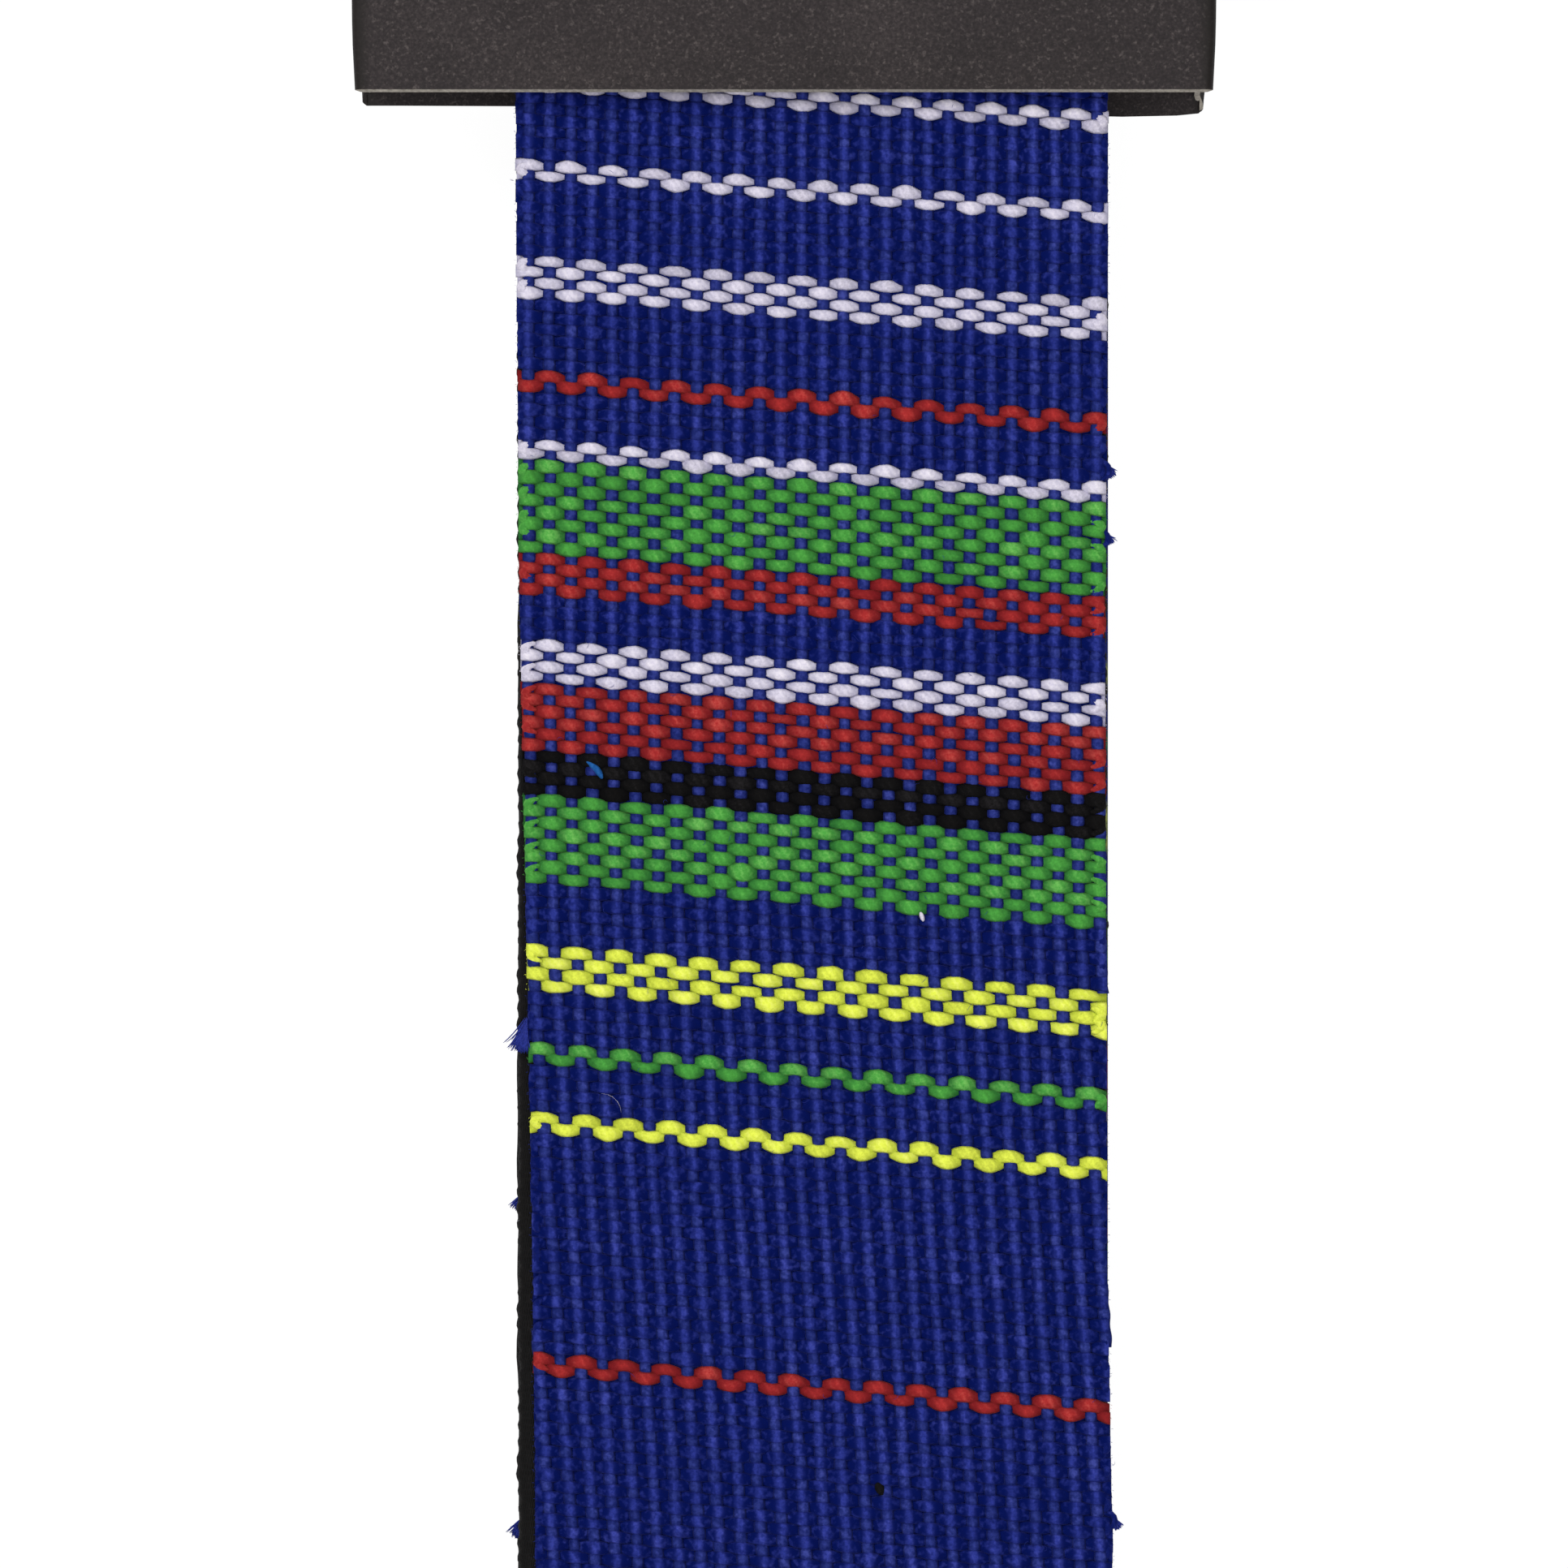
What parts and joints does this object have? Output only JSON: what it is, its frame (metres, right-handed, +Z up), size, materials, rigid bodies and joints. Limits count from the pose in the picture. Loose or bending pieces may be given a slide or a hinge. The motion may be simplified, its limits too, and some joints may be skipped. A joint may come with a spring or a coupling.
{
  "type": "luggage strap",
  "caption": "Striped woven luggage strap on black webbing, folded into a flat pack with a side-release buckle, an elastic keeper and a card sleeve that slides off.",
  "frame": {"origin": "middle of the pack's box, on the surface that it lies on", "axes": "+X across the strap, +Y along the strap from the folded end towards the buckle, +Z up out of the striped face"},
  "size_m": [0.0732, 0.3854, 0.0161],
  "materials": {
    "woven_cotton": "plain weave, blue ground with bands of white, red, green, black and yellow weft",
    "black_webbing": "close woven ribbed webbing, matte",
    "black_thread": "twisted sewing thread",
    "buckle_plastic": "fine moulded texture",
    "black_elastic": "ribbed elastic tape",
    "black_card": "uncoated black faced board with a pale core at the cut edges"
  },
  "bodies": {
    "root": {"woven_face": "woven_cotton", "backing_webbing": "black_webbing", "box_stitching": "black_thread", "buckle_socket": "buckle_plastic"},
    "sleeve": {"card_sleeve": "black_card"},
    "plug": {"buckle_plug": "buckle_plastic", "end_face": "woven_cotton", "end_backing": "black_webbing", "tail_stitching": "black_thread"},
    "prong_left": {"prong_left": "buckle_plastic"},
    "prong_right": {"prong_right": "buckle_plastic"},
    "keeper": {"keeper_loop": "black_elastic", "keeper_tack": "black_thread"}
  },
  "joints": [
    {"name": "sleeve_slide", "type": "slide", "parent": "root", "child": "sleeve", "axis": [0, 1, 0], "range_m": [0, 0.19]},
    {"name": "plug_slide", "type": "slide", "parent": "root", "child": "plug", "axis": [0, 1, 0], "range_m": [0, 0.034], "deforming": ["prong_left", "prong_right"]},
    {"name": "prong_left_press", "type": "hinge", "parent": "plug", "child": "prong_left", "pos_m": [-0.0166, 0.12812, 0.0088], "axis": [0, 0, 1], "range_deg": [0, 12], "stiffness_Nm_per_rad": 0.03},
    {"name": "prong_right_press", "type": "hinge", "parent": "plug", "child": "prong_right", "pos_m": [0.0214, 0.12812, 0.0088], "axis": [0, 0, -1], "range_deg": [0, 12], "stiffness_Nm_per_rad": 0.03},
    {"name": "keeper_slide", "type": "slide", "parent": "plug", "child": "keeper", "axis": [0, 1, 0], "range_m": [-0.0045, 0.013]}
  ]
}
